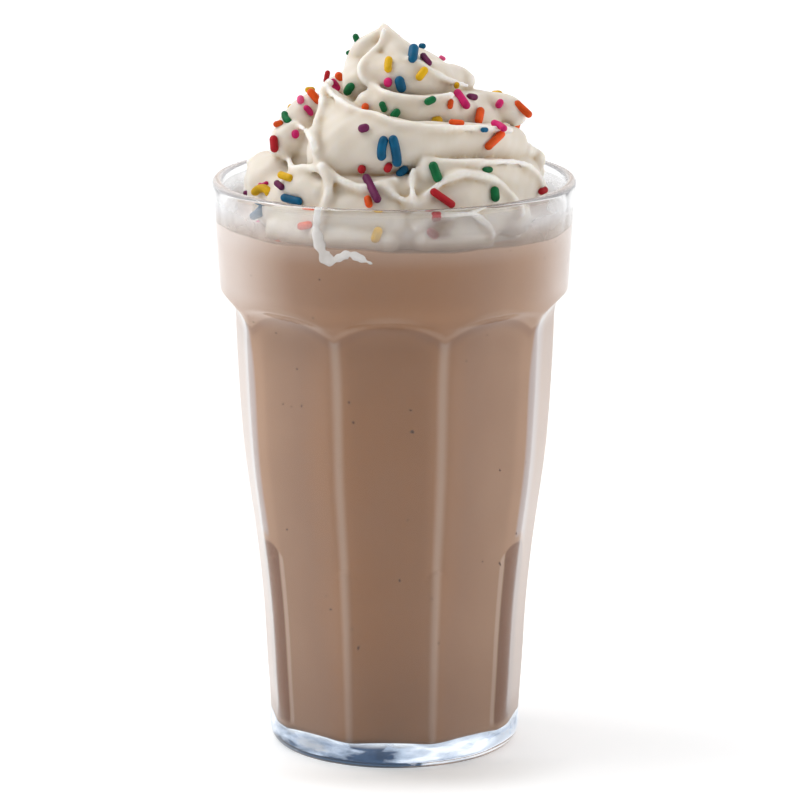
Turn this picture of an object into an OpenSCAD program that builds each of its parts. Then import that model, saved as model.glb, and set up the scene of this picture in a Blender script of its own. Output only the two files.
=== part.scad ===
// Milkshake in a tall nine-panel tumbler with a swirl of whipped cream.
// Origin at the centre of the glass's underside, Z up, front towards -Y.

/* [Glass] */
// overall height of the glass
glass_height = 146.5; // [120:0.5:180]
// outside radius at the lip
lip_radius = 46; // [38:0.5:55]
// thickness of the rounded lip
lip_thickness = 2.6; // [1.8:0.1:4]
// outside radius at the foot of the round band
band_radius = 44.1; // [36:0.1:54]
// height where the round band starts
band_base = 117.8; // [95:0.1:140]
// outside radius just under the shoulder
hip_radius = 41.5; // [34:0.1:50]
// height just under the shoulder
hip_height = 108; // [80:1:130]
// outside radius at the middle of the body
belly_radius = 39.9; // [32:0.1:48]
// height of the middle of the body
belly_height = 79; // [60:1:95]
// outside radius at the knee
knee_radius = 36.4; // [28:0.1:44]
// height of the knee
knee_height = 52; // [35:1:60]
// outside radius at the waist
waist_radius = 34.1; // [26:0.1:42]
// height of the waist
waist_height = 26; // [12:1:34]
// outside radius above the rounded foot
foot_radius = 32.7; // [24:0.1:40]
// radius of the flat ring that the glass stands on
stand_radius = 29.4; // [20:0.1:36]
// height of the rounded foot
foot_height = 6; // [3:0.5:10]

/* [Panels] */
// number of flat panels
panel_count = 9; // [6:1:12]
// turn of the front panel from straight ahead, in degrees
panel_turn = -1.75; // [-20:0.25:20]
// height that each panel's arched top rises over its sides
arch_rise = 5; // [2:0.5:10]

/* [Inside] */
// thickness of the glass under the drink
floor_thickness = 6.2; // [3:0.1:12]
// distance of the inner panels from the axis at the floor
floor_reach = 28.3; // [20:0.1:32]
// the same just under their arched tops
inner_reach = 29.5; // [22:0.1:33]
// height where the inside turns from panelled to round
step_height = 52.6; // [35:0.1:70]
// inside radius at that height
step_radius = 31.9; // [25:0.1:36]
// inside radius under the shoulder
throat_radius = 36.7; // [28:0.1:42]
// inside radius at the foot of the round band
band_bore = 41.2; // [34:0.1:46]
// height of the drink's level
drink_level = 135.5; // [100:0.5:142]

/* [Cream] */
// height of the cream's tip above the floor it stands on
tip_height = 186; // [160:1:210]
// radius that the lowest turn of cream reaches
cream_reach = 38; // [30:0.1:40]
// spheres per full turn of piped cream
turn_steps = 18; // [10:1:30]
// sides of each piped sphere
bead_sides = 12; // [8:2:24]

/* [Hidden] */
$fn = 96;
far = 60;
panel_angle = 360 / panel_count;
panel_cos = cos(panel_angle / 2);
lip_bead = lip_thickness / 2;
bore_lip = lip_radius - lip_thickness;
glass_clear = [0.82, 0.88, 0.9, 0.4];
drink_brown = [0.53, 0.38, 0.27];
cream_white = [0.97, 0.95, 0.9];

// Straight blend.
function mix(a, b, t) = a + (b - a) * t;
// Hermite curve between two heights with a lean (radius per height) at each end.
function sweep(z, z0, z1, r0, r1, m0, m1) =
  let (h = z1 - z0, t = (z - z0) / h)
  (2 * t * t * t - 3 * t * t + 1) * r0 + (t * t * t - 2 * t * t + t) * h * m0
    + (3 * t * t - 2 * t * t * t) * r1 + (t * t * t - t * t) * h * m1;

// Lean of the body wall at each named height.
foot_lean = 0.1;
waist_lean = 0.045;
knee_lean = 0.125;
belly_lean = 0.08;
hip_lean = 0.03;

// Outside radius of the body below the shoulder.
function body_radius(z) =
  z < foot_height
    ? mix(stand_radius, foot_radius, sqrt(1 - pow(1 - z / foot_height, 2)))
    : z < waist_height
      ? sweep(z, foot_height, waist_height, foot_radius, waist_radius, foot_lean, waist_lean)
      : z < knee_height
        ? sweep(z, waist_height, knee_height, waist_radius, knee_radius, waist_lean, knee_lean)
        : z < belly_height
          ? sweep(z, knee_height, belly_height, knee_radius, belly_radius, knee_lean, belly_lean)
          : sweep(z, belly_height, hip_height, belly_radius, hip_radius, belly_lean, hip_lean);

foot_rows = [for (i = [0:4]) foot_height * (1 - cos(18 * i))];
body_rows = [for (i = [0:16]) mix(foot_height, hip_height, i / 16)];
arch_base = band_base - arch_rise - 1;
clear_of_edges = 5;

// Round envelope: it clears the panelled body and forms the shoulder, band and rounded lip.
function outer_profile() = concat(
  [[0, 0], [stand_radius + clear_of_edges, 0]],
  [[hip_radius + 0.7, hip_height], [hip_radius + 1.1, arch_base]],
  [[band_radius - 0.8, arch_base + 2.8], [band_radius - 0.2, band_base - 0.5]],
  [[band_radius, band_base + 0.8]],
  [for (t = [0.35, 0.7, 0.85])
    [mix(band_radius, lip_radius, t * (0.85 + 0.15 * t)), mix(band_base, glass_height, t)]],
  [for (a = [0:20:180])
    [lip_radius - lip_bead + lip_bead * cos(a), glass_height - lip_bead + lip_bead * sin(a)]],
  [[0, glass_height - lip_bead]]
);

panel_curl = band_base - hip_height + 1;

// Panelled body, given at its edges. At the top the panels curl outwards until they clear the
// band, and where they cut the round envelope they leave the arches.
function panel_profile() = concat(
  [[0, -0.01], [stand_radius, -0.01]],
  [for (z = foot_rows) [body_radius(z), z]],
  [for (z = body_rows) [body_radius(z), z]],
  [for (t = [0.25, 0.45, 0.6, 0.75, 0.88, 1])
    [mix(hip_radius, (band_radius + 0.7) / panel_cos, t * t * t), hip_height + panel_curl * t]],
  [[lip_radius + 5, band_base + 6], [lip_radius + 5, glass_height + 1], [0, glass_height + 1]]
);

// A solid with flat sides, one facing the front.
module panelled(profile) {
  rotate([0, 0, panel_turn - 90 + panel_angle / 2])
    rotate_extrude($fn = panel_count)
      polygon(profile);
}

// Inside radius of the glass above the panelled part.
function bore_radius(z) =
  z < hip_height
    ? sweep(z, step_height, hip_height, step_radius, throat_radius, 0.14, 0.06)
    : z < bore_shoulder
      ? sweep(z, hip_height, bore_shoulder, throat_radius, band_bore, 0.06, 0.1)
      : sweep(z, bore_shoulder, glass_height, band_bore, bore_lip, 0.1, 0.09);

bore_shoulder = band_base + 2;
bore_rows = concat(
  [for (i = [0:6]) mix(step_height, hip_height, i / 6)],
  [for (i = [1:5]) mix(hip_height, bore_shoulder, i / 5)]
);

// Round hollow of the glass up to a level.
function bore_profile(level) = concat(
  [[0, floor_thickness - 1], [step_radius - 0.4, floor_thickness - 1]],
  [for (z = bore_rows) [bore_radius(z), z]],
  [for (t = [0.5, 1]) let (z = mix(bore_shoulder, level, t)) [bore_radius(z), z]],
  [[0, level]]
);

floor_round = 1.6;
inner_curl = 4.6;

// Inner panels, given at their middles, from the floor's rounded edge to their arched tops.
function inner_rows() = concat(
  [for (a = [0:30:90])
    [floor_reach - floor_round * (1 - sin(a)), floor_thickness + floor_round * (1 - cos(a))]],
  [for (t = [0, 0.3, 0.55, 0.8, 1])
    [mix(inner_reach, step_radius + 0.5, t * t), step_height - inner_curl * (1 - t)]]
);

function inner_profile(level) = concat(
  [[0, floor_thickness]],
  [for (row = inner_rows()) [row[0] / panel_cos, row[1]]],
  [[far, step_height + 1], [far, level + 1], [0, level + 1]]
);

module hollow(level) {
  intersection() {
    rotate_extrude()
      polygon(bore_profile(level));
    panelled(inner_profile(level));
  }
}

module glass() {
  color(glass_clear)
    difference() {
      intersection() {
        rotate_extrude()
          polygon(outer_profile());
        panelled(panel_profile());
      }
      hollow(glass_height + 1);
    }
}

module milkshake() {
  color(drink_brown)
    hollow(drink_level);
}

// One bead of piped cream: turn from the front in degrees, distance, height, size.
module bead(turn, reach, z, size) {
  translate([reach * sin(turn), -reach * cos(turn), z])
    sphere(r = size, $fn = bead_sides);
}

// A length of piped cream between two beads, each [turn, reach, height, size].
module rope(from, to) {
  steps = max(1, round(abs(to[0] - from[0]) * turn_steps / 360));
  for (i = [0:steps - 1]) {
    a = mix(from, to, i / steps);
    b = mix(from, to, (i + 1) / steps);
    hull() {
      bead(a[0], a[1], a[2], a[3]);
      bead(b[0], b[1], b[2], b[3]);
    }
  }
}

// Turns of the swirl, lowest first, each a row of beads.
base_turn = [
  [-200, 29, 144, 8.6],
  [-150, 29.5, 144.5, 8.6],
  [-95, cream_reach - 8, 144.5, 7.6],
  [-60, 29.5, 142.5, 7.6],
  [-25, 30, 140, 8],
  [25, 30.5, 140, 8],
  [48, 30.4, 143.5, 7.4],
  [68, cream_reach - 7.8, 146, 7.2],
  [110, cream_reach - 8.2, 145, 8.2],
  [160, 29, 144, 8.6]
];
middle_turn = [
  [-130, 21, 154, 7.6],
  [-85, 22, 152.5, 7],
  [-32, 13.5, 156, 9],
  [30, 16.5, 153.5, 8],
  [85, 25.5, 151.5, 6.6],
  [125, 24, 152.5, 7.8],
  [175, 22, 153, 8],
  [240, 21, 156, 7.6]
];
upper_turn = [
  [-120, 17.5, 160, 7],
  [-75, 13.5, 161.5, 6.4],
  [-20, 8, 162, 6.4],
  [75, 20, 160.5, 5.8],
  [105, 19, 161.5, 6.8],
  [160, 14, 163, 7.6],
  [240, 12, 165, 7.6]
];
top_turn = [
  [-80, 4.5, 170.5, 7.4],
  [-20, 3.5, 170, 7.4],
  [85, 10, 168.5, 7],
  [140, 8, 170, 8],
  [200, 5, 172.5, 7.6],
  [270, 3.5, 175.5, 5.4]
];

// Lobes that stand out of the turns at the front.
tip_lobe = [
  [-90, 3.5, tip_height - 0.4, 0.4],
  [-43, 2.5, tip_height - 3, 1.8],
  [-2, 3.5, tip_height - 5.5, 3],
  [20, 6, tip_height - 10, 4.8]
];
tip_fold = [[-90, 4, 183, 1.4], [-90, 7.5, 179.5, 2.6], [-55, 11, 171.5, 4]];
top_face = [[-27, 9, 174, 4.6], [12, 9.5, 173.5, 5.4], [52, 11, 172.5, 4.8], [90, 18.5, 171, 2]];
band = [
  [-22, 16, 167.5, 3.2],
  [22, 18, 166.5, 3.8],
  [50, 18.5, 166, 4],
  [90, 21, 164.5, 4.2],
  [90, 30.5, 162, 2.8]
];
big_lobe = [
  [-32, 27, 156, 7.4],
  [-25, 24, 158, 8.8],
  [-7, 25, 158.5, 7.6],
  [10, 25.5, 159, 6.2],
  [52, 27, 158, 4.8],
  [82, 29.5, 155.5, 4.4]
];
shoulder = [[-77, 17.5, 170, 0.8], [-60, 18, 168, 2.6], [-40, 20.5, 164, 5.2], [-27, 23.5, 159.5, 8]];
right_rope = [[7, 34, 144.5, 4.2], [30, 33, 146.5, 6.2], [45, 33.5, 144.5, 5.6], [60, 34, 140, 4.6]];
outer_rope = [[15, 32, 153.5, 2.8], [42, 33, 151.5, 4.2], [65, 33, 148.5, 4.6], [90, 35, 143, 3.8]];
lower_rope = [[-55, 32.5, 143, 5.2], [-42, 32.5, 148.5, 5], [-25, 33, 145, 4.8], [-2, 34, 143, 5]];
left_lobe = [[-75, 31.5, 147, 6.2], [-82, 31.5, 148, 5.8], [-72, 27.5, 157, 4.8], [-90, 20.5, 165, 3.2]];
sunk_lobe = [[-50, 35, 138, 4.4], [-5, 36, 137.5, 4], [25, 35.5, 138.5, 4.8], [35, 36, 137, 3.8]];
rows = [
  base_turn, middle_turn, upper_turn, top_turn, tip_lobe, tip_fold, top_face, band, big_lobe,
  shoulder, right_rope, outer_rope, lower_rope, left_lobe, sunk_lobe
];

module turns(row) {
  for (i = [0:len(row) - 2])
    rope(row[i], row[i + 1]);
}

module whipped_cream() {
  color(cream_white)
    intersection() {
      translate([0, 0, drink_level])
        cylinder(r = bore_radius(drink_level) - 0.4, h = far, $fn = 48);
      union() {
        translate([0, 0, drink_level - 1])
          cylinder(r1 = cream_reach - 4, r2 = 8, h = 38, $fn = 36);
        for (row = rows)
          turns(row);
      }
    }
}

glass();
milkshake();
whipped_cream();
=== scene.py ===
import math

import bpy
import numpy as np
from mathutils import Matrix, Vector
from mathutils.bvhtree import BVHTree


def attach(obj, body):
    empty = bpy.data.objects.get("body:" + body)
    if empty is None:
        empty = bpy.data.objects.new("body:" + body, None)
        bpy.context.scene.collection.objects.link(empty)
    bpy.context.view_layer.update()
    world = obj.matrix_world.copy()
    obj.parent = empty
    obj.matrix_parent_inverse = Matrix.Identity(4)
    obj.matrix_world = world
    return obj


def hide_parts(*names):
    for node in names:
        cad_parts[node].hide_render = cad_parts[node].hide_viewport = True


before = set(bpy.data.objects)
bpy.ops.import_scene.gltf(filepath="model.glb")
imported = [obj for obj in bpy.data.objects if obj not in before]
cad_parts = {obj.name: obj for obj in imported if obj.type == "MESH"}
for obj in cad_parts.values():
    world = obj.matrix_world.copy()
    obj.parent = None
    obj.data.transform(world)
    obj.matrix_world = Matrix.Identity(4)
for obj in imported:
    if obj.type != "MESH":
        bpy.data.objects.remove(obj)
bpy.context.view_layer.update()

# ---------------------------------------------------------------- sizes, millimetres

MM = 0.001
GLASS_HEIGHT = 146.5
LIP_RADIUS, LIP_THICKNESS = 46.0, 2.6
BAND_RADIUS, BAND_BASE = 44.1, 117.8
HIP_RADIUS, HIP_HEIGHT = 41.5, 108.0
BELLY_RADIUS, BELLY_HEIGHT = 39.9, 79.0
KNEE_RADIUS, KNEE_HEIGHT = 36.4, 52.0
WAIST_RADIUS, WAIST_HEIGHT = 34.1, 26.0
FOOT_RADIUS, FOOT_HEIGHT = 32.7, 6.0
STAND_RADIUS = 29.4
PANELS, PANEL_TURN = 9, -1.75
ARCH_RISE = 5.0
FLOOR_THICKNESS, FLOOR_REACH, FLOOR_ROUND = 6.2, 28.3, 1.6
STEP_HEIGHT, STEP_SAG, STEP_SPREAD = 52.6, 0.9, 2.2
CORNER_TRIM = 1.04
THROAT_REACH, THROAT_HEIGHT, BAND_BORE = 36.3, 104.0, 41.2
DRINK_LEVEL = 135.5
CREAM_TIP = 186.0
INTO_WALL = 0.15
# Distance of the inner panels from the axis at each height, and their lean there.
BORE_HEIGHTS = (
    FLOOR_THICKNESS,
    WAIST_HEIGHT,
    KNEE_HEIGHT,
    BELLY_HEIGHT,
    THROAT_HEIGHT,
    BAND_BASE + 2,
    GLASS_HEIGHT,
)
BORE_REACHES = (FLOOR_REACH, 29.5, 31.6, 34.9, THROAT_REACH, BAND_BORE, LIP_RADIUS - LIP_THICKNESS)
BORE_LEANS = (0.06, 0.055, 0.12, 0.075, 0.12, 0.16, 0.09)

HALF_PANEL = math.radians(180 / PANELS)


def collection_object(name, data):
    obj = bpy.data.objects.new(name, data)
    bpy.context.scene.collection.objects.link(obj)
    return obj


def mesh_piece(name, points, faces, material):
    """A smooth mesh object from points in millimetres and faces as rows of corners."""
    mesh = bpy.data.meshes.new(name)
    places = (np.asarray(points, float) * MM).tolist()
    mesh.from_pydata(places, [], [list(map(int, face)) for face in faces])
    mesh.validate()
    mesh.polygons.foreach_set("use_smooth", [True] * len(mesh.polygons))
    mesh.materials.append(material)
    mesh.update()
    return collection_object(name, mesh)


# ---------------------------------------------------------------- glass and drink shapes


def smooth_min(a, b, width):
    h = np.clip(0.5 + 0.5 * (b - a) / width, 0, 1)
    return b + (a - b) * h - width * h * (1 - h)


def smooth_step(low, high, x):
    t = np.clip((x - low) / (high - low), 0, 1)
    return t * t * (3 - 2 * t)


def curve(xs, ys, leans, x):
    """Hermite curve through (xs, ys) with a slope at each."""
    xs, ys, leans = (np.asarray(v, float) for v in (xs, ys, leans))
    i = np.clip(np.searchsorted(xs, x) - 1, 0, len(xs) - 2)
    h = xs[i + 1] - xs[i]
    t = np.clip((x - xs[i]) / h, 0, 1)
    return (
        (2 * t**3 - 3 * t**2 + 1) * ys[i]
        + (t**3 - 2 * t**2 + t) * h * leans[i]
        + (3 * t**2 - 2 * t**3) * ys[i + 1]
        + (t**3 - t**2) * h * leans[i + 1]
    )


def body_radius(z):
    """Radius of the panelled body at its edges."""
    foot = STAND_RADIUS + (FOOT_RADIUS - STAND_RADIUS) * np.sqrt(
        np.clip(1 - (1 - np.clip(z / FOOT_HEIGHT, 0, 1)) ** 2, 0, 1)
    )
    wall = curve(
        (FOOT_HEIGHT, WAIST_HEIGHT, KNEE_HEIGHT, BELLY_HEIGHT, HIP_HEIGHT),
        (FOOT_RADIUS, WAIST_RADIUS, KNEE_RADIUS, BELLY_RADIUS, HIP_RADIUS),
        (0.1, 0.045, 0.125, 0.08, 0.03),
        z,
    )
    return np.where(z < FOOT_HEIGHT, foot, wall)


def flat_sided(reach, turn, rounding):
    """Radius at each turn of a figure with PANELS flat sides, reach from the axis, edges rounded."""
    off = (turn - math.radians(PANEL_TURN - 90) + HALF_PANEL) % (2 * HALF_PANEL) - HALF_PANEL
    near = reach / np.cos(off)
    beside = reach / np.cos(2 * HALF_PANEL - np.abs(off))
    return smooth_min(near, beside, rounding)


def outer_radius(z, turn):
    arch_base = BAND_BASE - ARCH_RISE - 1
    envelope = curve(
        (HIP_HEIGHT, arch_base, arch_base + 3.2, BAND_BASE + 0.8, GLASS_HEIGHT),
        (HIP_RADIUS + 0.7, HIP_RADIUS + 1.2, BAND_RADIUS - 0.7, BAND_RADIUS, LIP_RADIUS),
        (0.05, 0.3, 0.35, 0.07, 0.1),
        z,
    )
    curl = np.clip((z - HIP_HEIGHT) / (BAND_BASE + 1 - HIP_HEIGHT), 0, None)
    hip_reach = body_radius(HIP_HEIGHT) * math.cos(HALF_PANEL)
    reach = np.where(
        z < HIP_HEIGHT,
        body_radius(np.minimum(z, HIP_HEIGHT)) * math.cos(HALF_PANEL) + 1.3 * smooth_step(13, 0, z),
        hip_reach + (BAND_RADIUS + 0.7 - hip_reach) * curl**3,
    )
    rounding = 1.7 + 6.0 * smooth_step(13, 0, z)
    panels = flat_sided(reach, turn, rounding)
    panels = panels + (reach * 1.025 - panels) * 0.7 * smooth_step(11, 0, z)
    return np.where(z > BAND_BASE + 3, envelope, smooth_min(panels, envelope, 0.5))


def bore_radius(z, turn):
    """Inside of the glass: flat-sided in the body with its corners trimmed round, full corners
    below the step, and round in the band."""
    reach = curve(BORE_HEIGHTS, BORE_REACHES, BORE_LEANS, z)
    off = (turn - math.radians(PANEL_TURN - 90)) % (2 * HALF_PANEL) - HALF_PANEL
    step = STEP_HEIGHT - STEP_SAG * (np.degrees(off) / STEP_SPREAD) ** 2
    trim = CORNER_TRIM + 0.07 * smooth_step(0, 1.4, step - z)
    trim = trim - (CORNER_TRIM - 1) * smooth_step(THROAT_HEIGHT, 118, z)
    corners = flat_sided(reach, turn, 0.4)
    return smooth_min(corners, reach * trim, 0.35)


def tube_faces(rings, sides, first=0, closed=False):
    """Faces that join each ring of points to the next, and the last to the first if closed."""
    faces = []
    for i in range(rings if closed else rings - 1):
        a, b = first + i * sides, first + (i + 1) % rings * sides
        for k in range(sides):
            j = (k + 1) % sides
            faces.append((a + k, a + j, b + j, b + k))
    return faces


def capped_faces(rings, sides):
    """Faces of a tube whose first and last points are its poles."""
    faces = tube_faces(rings, sides, first=1)
    last = 1 + (rings - 1) * sides
    for k in range(sides):
        j = (k + 1) % sides
        faces += [(0, 1 + j, 1 + k), (last + sides, last + k, last + j)]
    return faces


def turn_grid(turns):
    return np.arange(turns) * 2 * math.pi / turns


def ring_points(rows):
    """Points from rows of (height, radius at each turn)."""
    turn = turn_grid(len(rows[0][1]))
    ring = np.stack([np.cos(turn), np.sin(turn)], -1)
    rings = [np.column_stack([ring * r[:, None], np.broadcast_to(z, len(turn))]) for z, r in rows]
    return np.concatenate(rings)


def spun(rows, name, material):
    """A closed surface from rows of (height, radius at each turn), from one pole to the other."""
    poles = [[[0, 0, float(np.mean(rows[k][0]))]] for k in (0, -1)]
    points = np.concatenate([poles[0], ring_points(rows), poles[1]])
    return mesh_piece(name, points, capped_faces(len(rows), len(rows[0][1])), material)


def corner_rows(radius_at, floor, turn):
    """Rows that round a floor's edge: from the flat out to the wall."""
    for a in np.linspace(0, math.pi / 2, 6):
        z = floor + FLOOR_ROUND * (1 - math.cos(a))
        yield z, radius_at(floor + FLOOR_ROUND, turn) - FLOOR_ROUND * (1 - math.sin(a))


def spread(*spans):
    """Heights over spans of (from, to, how many), each span after the first without its start."""
    return [float(z) for i, span in enumerate(spans) for z in np.linspace(*span)[i > 0 :]]


def build_glass(material):
    turn = turn_grid(360)
    rows = []
    for share in (0.3, 0.6, 0.85, 0.96):
        rows.append((0.0, outer_radius(0.0, turn) * share))
    bead = LIP_THICKNESS / 2
    top_z = GLASS_HEIGHT - bead
    foot = [FOOT_HEIGHT * (1 - math.cos(a)) for a in np.linspace(0, math.pi / 2, 12)[:-1]]
    body = (FOOT_HEIGHT, HIP_HEIGHT, 52), (HIP_HEIGHT, BAND_BASE + 2, 30), (BAND_BASE + 2, top_z, 12)
    rows.extend((z, outer_radius(z, turn)) for z in [*foot, *spread(*body)])
    outside, inside = outer_radius(top_z, turn), bore_radius(top_z, turn)
    middle, half = (outside + inside) / 2, (outside - inside) / 2
    for a in np.linspace(0, math.pi, 15)[1:-1]:
        rows.append((top_z + bead * math.sin(a), middle + half * math.cos(a)))
    heights = spread(
        (top_z, BAND_BASE, 14),
        (BAND_BASE, STEP_HEIGHT + 1, 26),
        (STEP_HEIGHT + 1, STEP_HEIGHT - 5, 20),
        (STEP_HEIGHT - 5, FLOOR_THICKNESS + FLOOR_ROUND, 14),
    )
    rows.extend((z, bore_radius(z, turn)) for z in heights[:-1])
    rows.extend(reversed(list(corner_rows(bore_radius, FLOOR_THICKNESS, turn))))
    for share in (0.85, 0.6, 0.3):
        rows.append((FLOOR_THICKNESS, bore_radius(FLOOR_THICKNESS, turn) * share))
    return spun(rows, "tumbler", material)


def drink_top(turn):
    """Height of the drink against the wall: higher on the left, with slow waves."""
    left = np.cos(turn - math.radians(200))
    return (
        DRINK_LEVEL
        + 1.2 * np.clip(left, 0, 1) ** 2
        + 0.35 * np.sin(3 * turn + 0.4)
        + 0.25 * np.sin(7 * turn + 1.9)
        + 0.12 * np.sin(17 * turn)
    )


def build_drink(material):
    turn = turn_grid(360)
    floor = FLOOR_THICKNESS - INTO_WALL

    def wall(z, turn):
        return bore_radius(z, turn) + INTO_WALL

    rows = [(floor, bore_radius(FLOOR_THICKNESS, turn) * s) for s in (0.3, 0.6, 0.85)]
    rows.extend(corner_rows(wall, floor, turn))
    heights = spread(
        (FLOOR_THICKNESS + FLOOR_ROUND, STEP_HEIGHT - 5, 14),
        (STEP_HEIGHT - 5, STEP_HEIGHT + 1, 20),
        (STEP_HEIGHT + 1, BAND_BASE, 26),
        (BAND_BASE, DRINK_LEVEL - 4, 8),
    )
    rows.extend((z, wall(z, turn)) for z in heights[1:])
    top = drink_top(turn)
    for share in (0.5, 0.85, 1.0):
        z = (DRINK_LEVEL - 4) + (top - DRINK_LEVEL + 4) * share
        rows.append((z, bore_radius(z, turn) + INTO_WALL * (1 if share < 1 else 0.6)))
    for share, drop in ((0.985, 0.25), (0.96, 0.5), (0.9, 0.65), (0.6, 0.7), (0.3, 0.7)):
        level = np.minimum(top, DRINK_LEVEL + 1.5 * share)
        rows.append((level - drop, bore_radius(top, turn) * share))
    return spun(rows, "shake", material)


def build_film(material):
    """A thin film of shake left on the inside of the band, above the drink."""
    turn = turn_grid(240)
    low = drink_top(turn) - 0.8
    rows = []
    levels = np.linspace(0, 1, 9)
    for shares, offset in ((levels, 0.12), (levels[::-1], -0.06)):
        for share in shares:
            z = low + (GLASS_HEIGHT - 2.2 - low) * share
            rows.append((z, bore_radius(z, turn) + offset))
    faces = tube_faces(len(rows), len(turn), closed=True)
    return mesh_piece("shake_film", ring_points(rows), faces, material)


# A smear of cream on the inside of the glass: rows of (turn from the front, height, half-width).
SMEAR = (
    (-24.8, 146.2, 0.7), (-25.4, 143, 0.9), (-25.4, 139.6, 1.2), (-24.4, 136.4, 1.6),
    (-22.6, 134.2, 1.9), (-20.2, 133.5, 1.5), (-17.6, 134.3, 1), (-14.8, 135.2, 1.2),
    (-11.8, 134.6, 1.1), (-9, 133.6, 0.8), (-6.4, 132.8, 0.25),
)


def build_smear(material):
    path = smooth_path([(t, z, w, 1.0) for t, z, w in SMEAR], 8)
    points, sides = [], 10
    for i, (turn, z, wide, _) in enumerate(path):
        ahead, behind = path[min(i + 1, len(path) - 1)], path[max(i - 1, 0)]
        reach = float(bore_radius(np.array(z), np.array(math.radians(turn - 90))))
        step = np.array([math.radians(ahead[0] - behind[0]) * reach, ahead[1] - behind[1]])
        step /= max(np.linalg.norm(step), 1e-6)
        side_turn, side_z = -step[1], step[0]
        wide *= 1 + 0.2 * math.sin(i * 0.41) + 0.14 * math.sin(i * 0.83 + 1)
        for k in range(sides):
            a = 2 * math.pi * k / sides
            s, c = wide * math.cos(a), 0.3 * min(1.0, wide) * math.sin(a)
            around = turn + math.degrees(s * side_turn / reach)
            points.append(cylinder_point(around, reach + 0.02 + c, z + s * side_z))
    faces = [face[::-1] for face in tube_faces(len(path), sides)]
    faces.append(tuple(range(sides)))
    faces.append(tuple(reversed(range((len(path) - 1) * sides, len(path) * sides))))
    return mesh_piece("cream_smear", points, faces, material)


# ---------------------------------------------------------------- whipped cream

VOXEL = 0.58
CAMERA_PITCH = math.radians(13.18)
EYE = np.array([0.0, -1200.0, 369.7])
VIEW_UP = np.array([0.0, math.sin(CAMERA_PITCH), math.cos(CAMERA_PITCH)])
# Distances: far from any cream, around a cone that is added, and the cream's furthest from the axis.
FAR, CONE_MARGIN, CREAM_REACH = 40.0, 5.0, 41.0
# How softly each kind of row joins what is there.
TURN_BLEND, LOBE_BLEND, CREST_BLEND, BACK_CREST_BLEND = 0.9, 1.1, 2.0, 2.6
CREST_SIZE = 0.8
RIPPLE = 0.16

# Turns of the swirl: rows of (degrees from the front, distance from the axis, height, radius).
BASE_TURN = (
    (-200, 29, 144, 8.6), (-150, 29.5, 144.5, 8.6), (-95, 30, 144.5, 7.6), (-60, 29.5, 142.5, 7.6),
    (-25, 30, 139.5, 8), (25, 30.5, 140, 8), (48, 30.4, 143.5, 7.4), (68, 30.2, 146, 7.2),
    (110, 30, 145, 8.2), (160, 29, 144, 8.6),
)
MIDDLE_TURN = (
    (-130, 21, 154, 7.6), (-85, 22, 152.5, 7), (-55, 18, 155, 7.2), (-32, 13.5, 156, 9),
    (0, 13.5, 155, 9), (30, 16.5, 153.5, 8), (60, 22.5, 152.5, 7), (85, 25.5, 151.5, 6.6),
    (125, 24, 152.5, 7.8), (175, 22, 153, 8), (240, 21, 156, 7.6),
)
UPPER_TURN = (
    (-120, 17.5, 160, 7), (-75, 13.5, 161.5, 6.4), (-20, 8, 162, 6.4), (30, 10, 161.5, 6.4),
    (75, 20, 160.5, 5.8), (105, 19, 161.5, 6.8), (160, 14, 163, 7.6), (240, 12, 165, 7.6),
)
TOP_TURN = (
    (-80, 4.5, 170.5, 7.4), (-20, 3.5, 170, 7.4), (40, 6, 169, 7.6), (85, 10, 168.5, 7),
    (140, 8, 170, 8), (200, 5, 172.5, 7.6), (270, 3.5, 175.5, 5.4),
)
TURNS = (BASE_TURN, MIDDLE_TURN, UPPER_TURN, TOP_TURN)

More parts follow.
